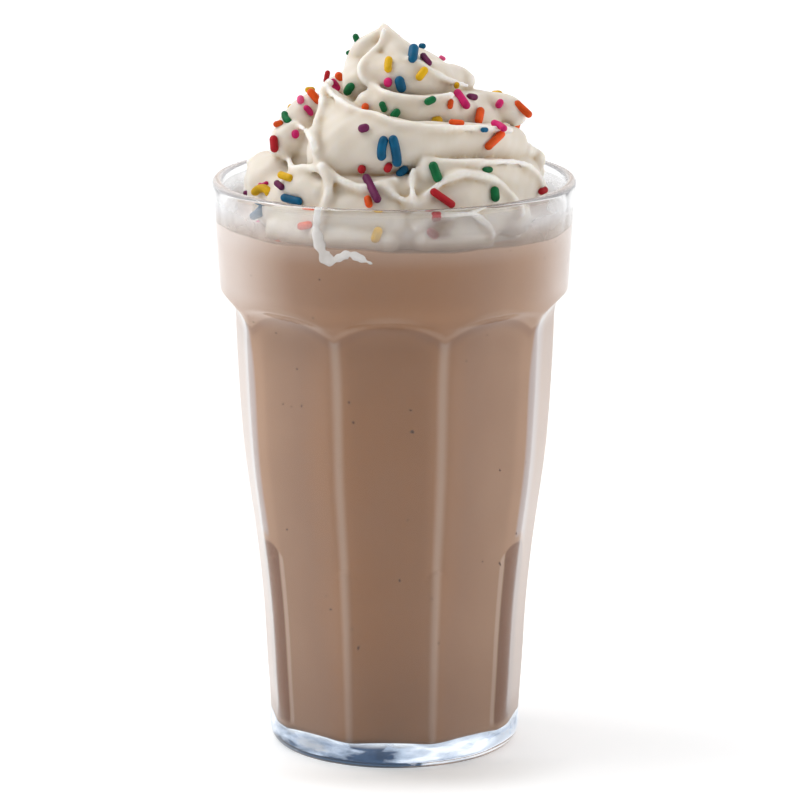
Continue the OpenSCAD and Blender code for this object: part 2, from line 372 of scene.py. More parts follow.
# The same from the front: rows of (across, up from the lip's centre, how far the outside stands out
# from the cone, radius). Crests stand out from the lobes under them instead.
FRONT_LOBES = (
    # tip, curling over to the left
    ((-3.4, 38.7, 0.6, 0.35), (-2.5, 37.7, 0.4, 0.9), (-1.6, 35.8, 0.4, 1.8), (-0.2, 33, 0.6, 3),
     (1.5, 29.5, 0.6, 4.6), (3, 26.5, 0.6, 5)),
    # lobe behind the tip
    ((-4, 36, -1.2, 1.4), (-7.5, 32.5, 0.2, 2.6), (-9, 28, 0, 3.6), (-9, 23.5, -0.5, 4)),
    # face of the top, out to its fold on the right
    ((-4, 26, 1, 4.6), (2, 25, 1.4, 5.4), (9, 24.5, 1.4, 4.8), (15, 24.5, 0.8, 3.6),
     (18.6, 24.2, 0.4, 1.9)),
    # band between the top and the big lobe
    ((-6.5, 18.5, -0.4, 3.2), (0, 17.2, 0, 3.6), (7, 16.8, 0.3, 3.8), (14, 17, 0.3, 4),
     (21, 17.6, 0.3, 4.2), (28, 17.2, 0.2, 3.6), (30.6, 15.5, 0, 2.8)),
    # the big lobe
    ((-14.5, 5.5, 1.6, 7.4), (-10, 7.5, 2.2, 8.8), (-3, 7.5, 2.2, 7.6), (5, 7.8, 1.8, 6.2),
     (13, 8.4, 1.5, 5.2), (22, 8.6, 1.2, 4.8), (29.2, 8.2, 0.6, 4.4)),
    # its pointed shoulder
    ((-17.3, 22.8, 1.4, 0.8), (-16, 19.5, 1.2, 2.6), (-13.8, 14.5, 1.6, 5.2), (-11, 9, 2, 8)),
    # ropes at the lower right
    ((5, -8.5, 0.8, 4.2), (10.5, -8.5, 1.4, 5.6), (17.5, -5.4, 1.8, 6.2), (24.5, -6.2, 1.4, 5.6),
     (29.5, -9.8, 0.6, 4.6)),
    ((8, 1.2, 0.2, 2.8), (15, 0.8, 0.6, 3.6), (23, 0.4, 0.9, 4.2), (30.5, -0.6, 0.9, 4.6),
     (35, -3.5, 0.6, 3.8)),
    # a small lump beside it
    ((33.4, 6.6, 0.3, 1.5), (35.6, 5.9, 0.2, 1.3), (36.6, 4.6, 0.3, 1.6), (37, 3, 0.1, 1)),
    # lower middle, behind the rim
    ((-15, -8, 0.6, 4.8), (-8, -9, 1, 5.4), (-1, -10, 1, 5)),
    # what shows in the gaps under the big lobe
    ((-14, -3.5, -1.6, 4), (-6, -4.5, -1.4, 4.4), (2, -4, -1.4, 4.4), (9, -3, -1.2, 4)),
    # domes and small lobes on the left
    ((-30.6, -1, 0.6, 6.2), (-31.5, 0.8, 0.4, 5.8)),
    ((-26.5, 9, 0.4, 4.8), (-23.8, 14, 0.6, 4.4), (-20.5, 18.2, 0.4, 3.2)),
    ((-27, -7, 0.2, 5.2), (-22.5, -2.4, 0.8, 5), (-18, -4, 0.8, 4.2)),
    # inside the glass
    ((8.5, -15.5, 1.6, 3.6), (15.5, -14.2, 2, 4.8), (21, -15.8, 1.4, 3.8)),
    ((-27, -13, 1, 4.4), (-14, -15.5, 1.6, 4.2), (-3, -16.5, 1.6, 4)),
)
FRONT_CRESTS = (
    # down the left of the top, from the tip
    ((-2.6, 37.6, 0.5, 0.6), (-3.1, 33.7, 0.8, 0.8), (-7, 30.2, 1, 0.9), (-8.5, 27.2, 1.2, 1),
     (-7.9, 24.7, 1.3, 1), (-4.8, 22.6, 1.3, 1), (-2, 21, 1, 1), (1.5, 20, 0.6, 0.9),
     (8, 19.6, 0.5, 0.8), (14.5, 20.6, 0.5, 0.8)),
    # fold on the right of the top
    ((4, 30, 0.3, 0.6), (9.5, 26.6, 0.8, 0.9), (14.5, 24, 0.8, 0.9), (18.6, 23, 0.4, 0.8)),
    # left and lower edge of the big lobe
    ((-17.4, 23.2, 0.8, 0.8), (-18.3, 20.3, 1, 1), (-18.1, 17.6, 1.2, 1.1), (-19.8, 12.8, 1.3, 1.2),
     (-20.3, 7.7, 1.3, 1.2), (-18.5, 2.9, 1.3, 1.2), (-15.4, 0.4, 1.3, 1.2),
     (-10.4, -2.2, 1.3, 1.1), (-7, -2.8, 1.2, 1.1), (-4, -2.1, 1, 1), (0, -0.8, 0.7, 0.9)),
    # its upper edge
    ((-17.3, 23, 0.7, 0.8), (-14.9, 20.2, 0.7, 0.9), (-11.4, 17.7, 0.8, 1), (-7.4, 16.2, 0.9, 1),
     (-3.8, 15.4, 0.9, 1), (-0.8, 13.9, 0.9, 1), (2.7, 13, 0.9, 1), (10.3, 12.4, 0.9, 1),
     (17.8, 12.4, 0.8, 0.9), (24, 12.2, 0.6, 0.9), (29.5, 11.6, 0.4, 0.8)),
    # edge of the rope at the lower right, dipping in the middle
    ((-2, -2.4, 0.5, 0.8), (0.7, -4.9, 1, 0.9), (4.7, -6.6, 1.2, 1), (6.8, -6.3, 1.2, 1),
     (8.8, -4.4, 1.2, 1), (12.8, -0.9, 1.2, 1.1), (17.8, 0.8, 1.2, 1.1), (23.9, -0.2, 1.2, 1.1),
     (27, -2, 1.1, 1), (30.4, -5.8, 1, 1), (31.5, -9, 0.8, 0.9)),
    # thin web in the gap
    ((4.6, 1.5, 0.2, 0.8), (4.4, -2.4, 0.6, 0.7), (4.9, -6, 0.6, 0.8)),
    # outer edge of the far right rope
    ((7.8, 3.9, 0.2, 0.8), (15.3, 3.8, 0.5, 0.8), (23, 3.7, 0.5, 0.8), (31.5, 3.6, 0.5, 0.8),
     (36, 0.9, 0.4, 0.8), (37.6, -2.4, 0.2, 0.8)),
    # the left
    ((-31, 6.4, 0.4, 0.8), (-28.4, 6.4, 0.7, 0.9), (-26.7, 4.4, 0.9, 0.9), (-25.6, 2.4, 1, 0.9),
     (-22, 2.4, 1, 0.9), (-18.6, 1.9, 1, 1)),
    ((-25.6, 13.2, 0.2, 0.6), (-23.6, 12.6, 0.6, 0.7), (-21.4, 10.6, 0.9, 0.8),
     (-20.2, 7.4, 0.9, 0.8)),
    # strand that runs down inside the glass
    ((-18.4, 2.6, 1.2, 1.2), (-16.8, -0.8, 1.4, 1.2), (-16.8, -4.4, 1.6, 1.2),
     (-17.8, -8.4, 1.8, 1.3), (-18.8, -11.4, 1.8, 1.3), (-19.4, -13.9, 1.6, 1.3)),
    # inside the glass on the right
    ((5.4, -12.6, 0.6, 0.9), (10.3, -10.8, 1.1, 1), (17.8, -9.4, 1.2, 1), (22.6, -11.4, 1.1, 1),
     (24.6, -14.6, 0.9, 0.9)),
)
# Edges on the sides and back, wound like the turns: rows of (turn, height, stands out by, radius).
BACK_CRESTS = (
    ((95, 172.5, 0.4, 0.7), (130, 171, 1.4, 0.9), (180, 168.5, 1.6, 1), (230, 168, 1.4, 1),
     (280, 171, 0.8, 0.8)),
    ((100, 158.5, 0.6, 0.8), (125, 160.5, 1.4, 1), (160, 163.5, 1.8, 1.1), (200, 166, 1.2, 1),
     (235, 169.5, 0.6, 0.7)),
    ((95, 153, 0.8, 0.8), (130, 151, 1.8, 1.1), (175, 150, 2, 1.2), (220, 152.5, 1.8, 1.1),
     (248, 155.5, 0.6, 0.8)),
    ((150, 159, 0.8, 0.8), (190, 157, 1.8, 1.1), (235, 159.5, 1.6, 1), (275, 164.5, 0.8, 0.8)),
    ((100, 147, 0.8, 0.8), (140, 144, 1.8, 1.1), (185, 142, 2, 1.1), (225, 144.5, 1.8, 1.1),
     (265, 150, 0.8, 0.8)),
)

CONE_HEIGHTS = (134, 146, 152, 157, 162, 167, 172, 177, 181, 187)
CONE_REACHES = (38.5, 37.5, 36.0, 32.0, 26.5, 20.5, 15.0, 9.0, 5.0, 1.0)


def cone_reach(z):
    """How far the cream reaches from the axis at a height."""
    return float(np.interp(z, CONE_HEIGHTS, CONE_REACHES))


def cylinder_point(turn, reach, z):
    return np.array([reach * math.sin(math.radians(turn)), -reach * math.cos(math.radians(turn)), z])


def view_ray(across, up):
    """From the camera to a place given in millimetres across and up from the lip's centre."""
    target = np.array([0.0, 0.0, GLASS_HEIGHT]) + up * VIEW_UP + np.array([across, 0.0, 0.0])
    return EYE, target - EYE


def front_bead(across, up, out, size):
    """A bead seen at (across, up) whose outside stands out from the cone."""
    eye, way = view_ray(across, up)
    y = 0.0
    for _ in range(30):
        place = eye + way * (y - eye[1]) / way[1]
        reach = max(cone_reach(place[2]) + out - size, 0.0)
        y = 0.5 * y - 0.5 * math.sqrt(max(reach**2 - place[0] ** 2, 0.0))
    return [*place, size]


def back_bead(turn, z, out, size):
    return [*cylinder_point(turn, cone_reach(z) + out - size, z), size]


def turn_bead(turn, reach, z, size):
    return [*cylinder_point(turn, reach, z), size]


def smooth_path(beads, per_gap=6):
    """Beads along a smooth curve (Catmull-Rom) through the given ones."""
    beads = np.array(beads, float)
    ends = np.concatenate([[2 * beads[0] - beads[1]], beads, [2 * beads[-1] - beads[-2]]])
    out = []
    for i in range(1, len(ends) - 2):
        a, b, c, d = ends[i - 1 : i + 3]
        for t in np.arange(per_gap) / per_gap:
            bow, twist = 2 * a - 5 * b + 4 * c - d, 3 * b - a - 3 * c + d
            out.append(0.5 * (2 * b + (c - a) * t + bow * t**2 + twist * t**3))
    out.append(beads[-1])
    out = np.array(out)
    out[:, 3] = np.maximum(out[:, 3], 0.3)
    return out


class Field:
    """Distances, in millimetres, on a grid of points around the cream."""

    def __init__(self, low, high, step):
        self.low, self.step = np.array(low, float), step
        counts = np.ceil((np.array(high, float) - self.low) / step).astype(int) + 1
        axes = [self.low[k] + np.arange(counts[k]) * step for k in range(3)]
        self.axes = [a.astype(np.float32) for a in axes]
        self.value = np.full(tuple(counts), FAR, np.float32)

    def window(self, low, high):
        cut = []
        for k in range(3):
            a = int(np.clip((low[k] - self.low[k]) / self.step, 0, len(self.axes[k]) - 1))
            b = int(np.clip((high[k] - self.low[k]) / self.step + 2, 1, len(self.axes[k])))
            cut.append(slice(a, b))
        grid = np.meshgrid(*(self.axes[k][cut[k]] for k in range(3)), indexing="ij", sparse=True)
        return tuple(cut), grid

    def add(self, cut, distance, blend):
        self.value[cut] = smooth_min(distance, self.value[cut], blend).astype(np.float32)

    def cone(self, a, b):
        """Distances to a round-ended cone between two beads (x, y, z, radius), after their place."""
        low = np.minimum(a[:3] - a[3], b[:3] - b[3]) - CONE_MARGIN
        high = np.maximum(a[:3] + a[3], b[:3] + b[3]) + CONE_MARGIN
        cut, (x, y, z) = self.window(low, high)
        d = (b - a)[:3]
        length = max(float(d @ d), 1e-6)
        t = np.clip(((x - a[0]) * d[0] + (y - a[1]) * d[1] + (z - a[2]) * d[2]) / length, 0, 1)
        off = (x - a[0] - t * d[0], y - a[1] - t * d[1], z - a[2] - t * d[2])
        gap = np.sqrt(off[0] ** 2 + off[1] ** 2 + off[2] ** 2)
        return cut, gap - (a[3] + t * (b[3] - a[3]))

    def rope(self, beads, blend):
        """Adds one piped length. Its own beads join hard, then the whole joins the rest softly."""
        size = beads[:, 3].max() + blend + 2 * self.step
        cut, _ = self.window(beads[:, :3].min(0) - size, beads[:, :3].max(0) + size)
        whole = np.full(self.value.shape, FAR, np.float32)
        for a, b in zip(beads[:-1], beads[1:], strict=True):
            part, distance = self.cone(a, b)
            whole[part] = np.minimum(whole[part], distance)
        self.add(cut, whole[cut], blend)

    def seen_depth(self, across, up):
        """Depth (y) where the surface is first met from the camera, or none."""
        eye, way = view_ray(across, up)
        y = np.arange(-44.0, 20.0, self.step * 0.7)
        place = eye + way * ((y - eye[1]) / way[1])[:, None]
        cell = np.round((place - self.low) / self.step).astype(int)
        inside = np.all((cell >= 0) & (cell < self.value.shape), axis=1)
        cell = np.clip(cell, 0, np.array(self.value.shape) - 1)
        hit = np.flatnonzero((self.value[tuple(cell.T)] < 0.2) & inside)
        return float(y[hit[0]]) if len(hit) else None

    def crest(self, row, blend):
        """Adds a thin edge that follows the lobes it is seen in front of."""
        path = smooth_path(row)
        depth = []
        for across, up, _, size in path:
            y = self.seen_depth(across, up)
            depth.append(front_bead(across, up, 0.0, size)[1] if y is None else y)
        depth = np.array(depth)
        padded = np.pad(depth, 3, mode="edge")
        depth = np.min([padded[k : k + len(depth)] for k in range(7)], axis=0)
        for _ in range(3):
            padded = np.pad(depth, 2, mode="edge")
            depth = np.mean([padded[k : k + len(depth)] for k in range(5)], axis=0)
        beads = []
        for (across, up, out, size), y in zip(path, depth, strict=True):
            eye, way = view_ray(across, up)
            beads.append([*(eye + way * (y - out + size - eye[1]) / way[1]), size])
        self.rope(np.array(beads), blend)

    def surface(self):
        """Naive surface nets: one point in each cell that the surface crosses."""
        v = self.value
        inside = v < 0
        shape = np.array(v.shape) - 1
        corners = [(dx, dy, dz) for dx in (0, 1) for dy in (0, 1) for dz in (0, 1)]
        total = np.zeros(tuple(shape), np.int8)
        for p in corners:
            total += inside[tuple(slice(p[k], p[k] + shape[k]) for k in range(3))]
        cells = np.argwhere((total > 0) & (total < 8))
        index = np.full(tuple(shape), -1, np.int64)
        index[tuple(cells.T)] = np.arange(len(cells))
        place, count = np.zeros((len(cells), 3)), np.zeros(len(cells))
        for p in corners:
            for axis in range(3):
                if p[axis]:
                    continue
                q = tuple(p[k] + (k == axis) for k in range(3))
                va = v[tuple((cells + p).T)].astype(float)
                vb = v[tuple((cells + q).T)].astype(float)
                hit = (va < 0) != (vb < 0)
                t = np.where(hit, va / np.where(hit, va - vb, 1), 0)
                at = np.tile(np.array(p, float), (len(cells), 1))
                at[:, axis] += t
                place[hit] += at[hit]
                count[hit] += 1
        points = self.low + (cells + place / count[:, None]) * self.step
        quads = []
        for axis in range(3):
            b, c = [k for k in range(3) if k != axis]
            cut_a = [slice(1, n) for n in shape]
            cut_b = [slice(1, n) for n in shape]
            cut_a[axis], cut_b[axis] = slice(0, shape[axis]), slice(1, shape[axis] + 1)
            va, vb = inside[tuple(cut_a)], inside[tuple(cut_b)]
            edges = np.argwhere(va != vb)
            start = np.array([0 if k == axis else 1 for k in range(3)])
            cell = edges + start
            flip = va[tuple(edges.T)]
            ring = []
            for ob, oc in ((0, 0), (-1, 0), (-1, -1), (0, -1)):
                shifted = cell.copy()
                shifted[:, b] += ob
                shifted[:, c] += oc
                ring.append(index[tuple(shifted.T)])
            ring = np.stack(ring, -1)
            turn_round = flip if axis != 1 else ~flip
            ring[~turn_round] = ring[~turn_round][:, ::-1]
            quads.append(ring)
        quads = np.concatenate(quads)
        return points, quads[(quads >= 0).all(1)]


def relax(points, quads, rounds, amount=0.5):
    """Evens the surface out by moving each point towards its neighbours' middle."""
    edges = np.concatenate([quads[:, [0, 1]], quads[:, [1, 2]], quads[:, [2, 3]], quads[:, [3, 0]]])
    for _ in range(rounds):
        total, count = np.zeros_like(points), np.zeros(len(points))
        for a, b in ((0, 1), (1, 0)):
            np.add.at(total, edges[:, a], points[edges[:, b]])
            np.add.at(count, edges[:, a], 1)
        points = points + amount * (total / np.maximum(count, 1)[:, None] - points)
    return points


def build_cream(material):
    reach = CREAM_REACH + 1
    field = Field((-reach, -reach, DRINK_LEVEL - 4), (reach, reach, CREAM_TIP + 3), VOXEL)
    cut, (x, y, z) = field.window((-reach, -reach, 0), (reach, reach, 200))
    # the core under the turns: a rounded cone
    radius = np.sqrt(x * x + y * y)
    core = np.maximum((radius - (33 - 0.8 * (z - DRINK_LEVEL))) * 0.8, DRINK_LEVEL - 2 - z)
    field.add(cut, np.maximum(core, z - 164).astype(np.float32), 0.01)
    for row in TURNS:
        field.rope(smooth_path([turn_bead(*bead) for bead in row]), TURN_BLEND)
    for row in FRONT_LOBES:
        field.rope(smooth_path([front_bead(*bead) for bead in row]), LOBE_BLEND)
    for row in FRONT_CRESTS:
        field.crest([(*bead[:3], CREST_SIZE * bead[3]) for bead in row], CREST_BLEND)
    for row in BACK_CRESTS:
        field.rope(smooth_path([back_bead(*bead) for bead in row], 10), BACK_CREST_BLEND)
    ripple = np.sin(0.55 * x + 0.3 * z) * np.sin(0.5 * y + 0.7)
    ripple = ripple + 0.5 * np.sin(0.9 * z - 0.8 * x + 1.1) * np.sin(1.0 * y)
    field.value += (RIPPLE * ripple).astype(np.float32)
    limit = np.maximum(radius - CREAM_REACH, DRINK_LEVEL - 2.0 - z)
    field.value = np.maximum(field.value, limit).astype(np.float32)
    points, quads = field.surface()
    points = relax(points, quads, 1, 0.6)
    return mesh_piece("cream_swirl", points, quads, material)


# ---------------------------------------------------------------- sprinkles

# Seen from the front: rows of (across, up, lean in degrees, length, thickness), and for a bent one
# its bend in radians.
FRONT_SPRINKLES = {
    "blue": (
        (1.6, 23.4, -75, 4.3, 2.5), (4.4, 30.4, 82, 6.1, 2.6), (7.3, 34.1, 0, 1.9, 1.5),
        (22.5, 11.9, 0, 2.2, 1.3), (-3, 7.1, 83, 6.2, 2.3, 0.35), (0.2, 6.5, -80, 8, 2.4, 0.15),
        (1.7, 1.3, 40, 3.6, 2.1), (-25.5, -5.6, -15, 6.3, 2.1), (-33, -8.9, 25, 5.6, 2),
    ),
    "green": (
        (-9.8, 34.2, -67, 3.4, 1.6), (-11.4, 31.6, 20, 1.9, 1.2), (-11, 22.2, 57, 3.9, 2.2, 0.6),
        (-27, 14.5, -60, 4.4, 1.8, -0.7), (-2.6, 17.5, -70, 2.9, 1.7), (0.3, 16, 50, 3, 2),
        (8.9, 19.1, 25, 3.2, 1.9), (10.4, 1.1, -70, 5.4, 2.3), (23.3, 1.4, 5, 3.1, 1.5),
        (25, -4.5, -85, 3.9, 2.2), (-33.5, -15, -20, 2.7, 1.6),
    ),
    "red": (
        (-17.4, 25.2, 78, 3.4, 1.4), (-29.9, 8.1, -85, 4.5, 2.1), (-1.6, 2.6, 60, 2.8, 1.9),
        (-8.1, 2.2, 70, 2.3, 2.1), (12, -5.5, -35, 7.3, 2), (37.1, -3.2, 25, 2.9, 1.9),
        (9.5, -14.2, -40, 3.3, 2.2), (10.5, -10.4, 10, 2.4, 1.5),
    ),
    "magenta": (
        (-15.3, 23.2, -56, 3.9, 1.9, 0.2), (-21.7, 16.5, -50, 3.2, 1.6, 0.6),
        (-25, 10.5, 90, 2.3, 2), (-1.4, 23.9, 80, 2.5, 2.2), (16.7, 19.1, -55, 6.1, 2.1),
        (26.5, 18.2, 60, 2.6, 1.8), (26.4, 12.3, -28, 5.2, 1.8, 0.6),
        (-32.8, -2.1, 15, 3.2, 1.1, -0.8),
    ),
    "orange": (
        (-13.4, 25.1, -65, 3, 2), (-20.1, 20.1, -50, 4.8, 2), (-29.1, 12.9, 15, 2.6, 1.6),
        (-7.1, 17.1, 80, 2.2, 1.9), (13.9, 18.3, 80, 2.6, 1.4), (21.2, 15, 80, 5.2, 2.1),
        (15.6, 13.2, -5, 4.2, 1.5), (32.2, 16.7, -43, 5.7, 1.9), (24.9, 9.3, 43, 7.2, 2),
        (-6.4, -6.6, -75, 3.4, 1.9), (-28.8, -16.2, 0, 2.6, 1.6), (-21.7, -12.2, 10, 4.2, 2),
    ),
    "yellow": (
        (-21.2, 22.3, 0, 2.6, 1.6), (-1.3, 27.9, 85, 4.7, 2, 0.3), (6.8, 25.8, 53, 4.1, 2),
        (15.5, 23.2, 80, 1.8, 1.4), (10.3, 14.2, 10, 3.1, 2.4), (-27.1, -0.3, -20, 4.9, 2),
        (-32.8, -3.6, -5, 7.2, 2.2, 1.3), (-4.1, -14.7, 70, 4.2, 2.3, 0.3),
    ),
    "purple": (
        (-7.6, 11.9, 15, 2.9, 2.1), (7.8, 29.1, -52, 4.5, 1.7), (19.4, 19.7, -8, 3.3, 1.7, 0.4),
        (-5.6, -3.4, -63, 9.3, 2.1), (-28.6, -2.3, -40, 3.6, 1.7), (-37.2, -4, 0, 1.8, 1.4),
    ),
    "pink": (
        (-23.4, 19.3, 90, 2.4, 1.9), (12.5, 30.4, -30, 1.8, 1.1), (-33.6, -11.7, 80, 2.3, 1.9),
        (-37.8, -13.7, -10, 3.2, 1.7),
    ),
}
BACK_SPRINKLES, BACK_SEED = 95, 7
SPRINKLE_COLOURS = {
    "blue": (0, 92, 132),
    "green": (10, 110, 62),
    "red": (178, 28, 40),
    "magenta": (215, 35, 115),
    "orange": (238, 90, 28),
    "yellow": (228, 180, 18),
    "purple": (108, 34, 82),
    "pink": (240, 95, 150),
}


def sprinkle(middle, along, normal, length, thickness, bend):
    """Points and faces of one rod with round ends, bent within the surface it lies on."""
    across = np.cross(normal, along)
    radius, sides = thickness / 2, 10
    half = max(length / 2 - radius, 0.05)
    rising, falling = np.linspace(0, math.pi / 2, 5)[1:], np.linspace(math.pi / 2, 0, 5)[:-1]
    stations = [(-half - radius * math.cos(a), radius * math.sin(a)) for a in rising]
    stations += [(t * half, radius) for t in np.linspace(-1, 1, 7)[1:-1]]
    stations += [(half + radius * math.cos(a), radius * math.sin(a)) for a in falling]
    reach = half + radius

    def at(t):
        turn = bend * t / reach
        if abs(bend) < 1e-6:
            return middle + along * t, across
        curl, sag = reach / bend, math.cos(turn) - math.cos(bend / 2)
        place = middle + along * curl * math.sin(turn) + across * curl * sag
        return place, across * math.cos(turn) + along * math.sin(turn)

    points = [at(-reach)[0]]
    for t, r in stations:
        place, side = at(t)
        for k in range(sides):
            a = 2 * math.pi * k / sides
            points.append(place + r * (side * math.cos(a) + normal * math.sin(a)))
    points.append(at(reach)[0])
    return points, capped_faces(len(stations), sides)


def lay_sprinkle(tree, eye, way, along, length, thickness, bend=0):
    """A sprinkle on the surface met from eye along way, resting near both ends, or none."""
    way = np.array(way, float)
    way /= np.linalg.norm(way)
    starts = [eye + along * length * share for share in (-0.36, 0, 0.36)]
    met = [tree.ray_cast(Vector(start), Vector(way)) for start in starts]
    depths = [way @ (np.array(m[0]) - eye) if m[0] is not None else None for m in met]
    known = [d for d in depths if d is not None]
    if depths[1] is None:
        # beside the outline: against the nearest part of it
        base = np.linalg.norm(eye) if not known else min(known)
        near = [tree.find_nearest(Vector(eye + way * (base + k))) for k in range(-40, 41, 2)]
        place, normal, _, gap = min((m for m in near if m[0] is not None), key=lambda m: m[3])
        if gap > 3.5:
            return None
        at = eye + way * (way @ (np.array(place) - eye))
        middle = np.array(place) + (at - np.array(place)) * min(1.0, 0.7 * thickness / max(gap, 1e-3))
        flat, normal = along, np.array(normal)
    else:
        slope = 0.0 if depths[0] is None or depths[2] is None else depths[2] - depths[0]
        slope = float(np.clip(slope, -0.55 * length, 0.55 * length))
        flat = along * 0.72 * length + way * slope
        ends = [d for d in depths[::2] if d is not None and abs(d - depths[1]) < 0.5 * length]
        depth = np.mean(ends) if len(ends) == 2 else depths[1]
        depth = depth + 0.8 * min(depths[1] - depth, 0.0)
        middle = eye + way * depth
        normal = sum(np.array(m[1]) for m in met if m[0] is not None)
    flat = flat / max(np.linalg.norm(flat), 1e-6)
    normal = normal if normal @ way < 0 else -normal
    normal = normal - flat * (normal @ flat)
    normal /= max(np.linalg.norm(normal), 1e-6)
    return sprinkle(middle + normal * thickness * 0.3, flat, normal, length, thickness, bend)


def hidden_in_front(tree, point):
    """True if the cream hides the point from the front."""
    far = np.linalg.norm(point - EYE)
    hit = tree.ray_cast(Vector(EYE), Vector((point - EYE) / far), far - 3.0)
    return hit[0] is not None


def build_sprinkles(cream):
    points = np.empty(len(cream.data.vertices) * 3)
    cream.data.vertices.foreach_get("co", points)
    tree = BVHTree.FromPolygons(
        (points.reshape(-1, 3) / MM).tolist(), [tuple(p.vertices) for p in cream.data.polygons]
    )
    laid = {name: [] for name in SPRINKLE_COLOURS}
    for name, rows in FRONT_SPRINKLES.items():
        for across, up, lean, *size in rows:
            eye, way = view_ray(across, up)
            lean = math.radians(lean)
            along = np.array([math.cos(lean), 0, 0]) + math.sin(lean) * VIEW_UP
            rod = lay_sprinkle(tree, eye, way, along, *size)
            if rod:
                laid[name].append(rod)
    dice = np.random.default_rng(BACK_SEED)
    names = list(SPRINKLE_COLOURS)
    for _ in range(BACK_SPRINKLES):
        turn, z = math.radians(dice.uniform(95, 265)), 144 + 38 * dice.random() ** 1.3
        away = np.array([math.sin(turn), -math.cos(turn), 0.45])
        eye = np.array([0, 0, z]) + away * 90
        lean = dice.uniform(0, math.pi)
        side = np.array([math.cos(turn), math.sin(turn), 0])
        along = side * math.cos(lean) + np.array([0, 0, 1]) * math.sin(lean)
        size = dice.uniform(3.4, 6.6), dice.uniform(1.8, 2.3), dice.choice([0, 0, 0, 0.5])
        rod = lay_sprinkle(tree, eye, -away, along, *size)
        name = names[dice.integers(len(names))]
        if rod and all(hidden_in_front(tree, rod[0][k]) for k in (0, len(rod[0]) // 2, -1)):
            laid[name].append(rod)
    pieces = []
    for name, rods in laid.items():
        all_points, all_faces = [], []
        for rod_points, rod_faces in rods:
            start = len(all_points)
            all_points.extend(rod_points)
            all_faces.extend(tuple(start + i for i in face) for face in rod_faces)
        material = sprinkle_material(name, linear(*SPRINKLE_COLOURS[name]))
        pieces.append(mesh_piece("sprinkles_" + name, all_points, all_faces, material))
    return pieces


# ---------------------------------------------------------------- materials

DULL = 0.2


class Nodes:
    """Short calls that build one material's node tree."""

    def __init__(self, name):
        self.material = bpy.data.materials.new(name)
        self.material.use_nodes = True
        self.tree = self.material.node_tree
        self.shader = self.tree.nodes["Principled BSDF"]
        self.output = self.tree.nodes["Material Output"]
        self.where = self.tree.nodes.new("ShaderNodeTexCoord").outputs["Object"]

    def add(self, kind, **values):
        node = self.tree.nodes.new(kind)
        for key, value in values.items():
            if hasattr(node, key):
                setattr(node, key, value)
            else:
                node.inputs[key.replace("_", " ")].default_value = value
        return node

    def link(self, source, target):
        self.tree.links.new(source, target)

    def feed(self, value, socket):
        """A number, a colour or another node's output into a socket."""
        if isinstance(value, tuple):
            socket.default_value = (*value, 1)
        elif isinstance(value, (int, float)):
            socket.default_value = value
        else:
            self.link(value, socket)

    def noise(self, scale, detail=3.0, roughness=0.5, stretch=None):
        node = self.add("ShaderNodeTexNoise", Scale=scale, Detail=detail, Roughness=roughness)
        where = self.where
        if stretch:
            mapping = self.add("ShaderNodeMapping")
            mapping.inputs["Scale"].default_value = stretch
            self.link(where, mapping.inputs["Vector"])
            where = mapping.outputs["Vector"]
        self.link(where, node.inputs["Vector"])
        return node.outputs["Fac"]

    def ramp(self, source, *stops):
        node = self.add("ShaderNodeValToRGB")
        ramp = node.color_ramp
        while len(ramp.elements) < len(stops):
            ramp.elements.new(0.5)
        for element, (place, colour) in zip(ramp.elements, stops, strict=True):
            element.position = place
            element.color = (*colour, 1)
        self.link(source, node.inputs["Fac"])
        return node.outputs["Color"]

    def mix(self, share, a, b):
        """Colour a, turned into colour b by share. The numbers are the node's sockets for colours."""
        node = self.add("ShaderNodeMix", data_type="RGBA")
        for value, index in ((share, 0), (a, 6), (b, 7)):
            self.feed(value, node.inputs[index])
        return node.outputs[2]

    def math(self, operation, a, b=0.0):
        node = self.add("ShaderNodeMath", operation=operation)
        self.feed(a, node.inputs[0])
        self.feed(b, node.inputs[1])
        return node.outputs[0]

    def plus(self, a, b):
        return self.math("ADD", a, b)

    def minus(self, a, b):
        return self.math("SUBTRACT", a, b)

    def times(self, product, *others):
        for other in others:
            product = self.math("MULTIPLY", product, other)
        return product

    def unsigned(self, a):
        return self.math("ABSOLUTE", a)

    def span(self, value, start, end, to_start=0.0, to_end=1.0):
        """A smooth step of value from start to end."""
        node = self.add("ShaderNodeMapRange", interpolation_type="SMOOTHSTEP")
        names = ("From Min", "From Max", "To Min", "To Max")
        for name, number in zip(names, (start, end, to_start, to_end), strict=True):
            node.inputs[name].default_value = number
        self.link(value, node.inputs["Value"])
        return node.outputs["Result"]

    def window(self, value, start, end, soft):
        """One between start and end, with soft sides."""
        return self.times(self.span(value, start, start + soft), self.span(value, end, end - soft))

    def turn_and_height(self):
        """Turn from the front in degrees and height in millimetres."""
        split = self.add("ShaderNodeSeparateXYZ")
        self.link(self.where, split.inputs[0])
        forward = self.times(split.outputs["Y"], -1.0)
        turn = self.times(self.math("ARCTAN2", split.outputs["X"], forward), math.degrees(1))
        return turn, self.times(split.outputs["Z"], 1 / MM)

    def bump(self, height, strength, distance):
        node = self.add("ShaderNodeBump", Strength=strength, Distance=distance)
        self.link(height, node.inputs["Height"])
        self.link(node.outputs["Normal"], self.shader.inputs["Normal"])

    def base(self, colour):
        self.link(colour, self.shader.inputs["Base Color"])

    def set(self, **values):
        for key, value in values.items():
            self.shader.inputs[key.replace("_", " ")].default_value = value


def linear(red, green, blue):
    """A colour of the screen, 0 to 255, as light."""
    shares = [v / 255 for v in (red, green, blue)]
    return tuple(((v + 0.055) / 1.055) ** 2.4 if v > 0.04 else v / 12.92 for v in shares)


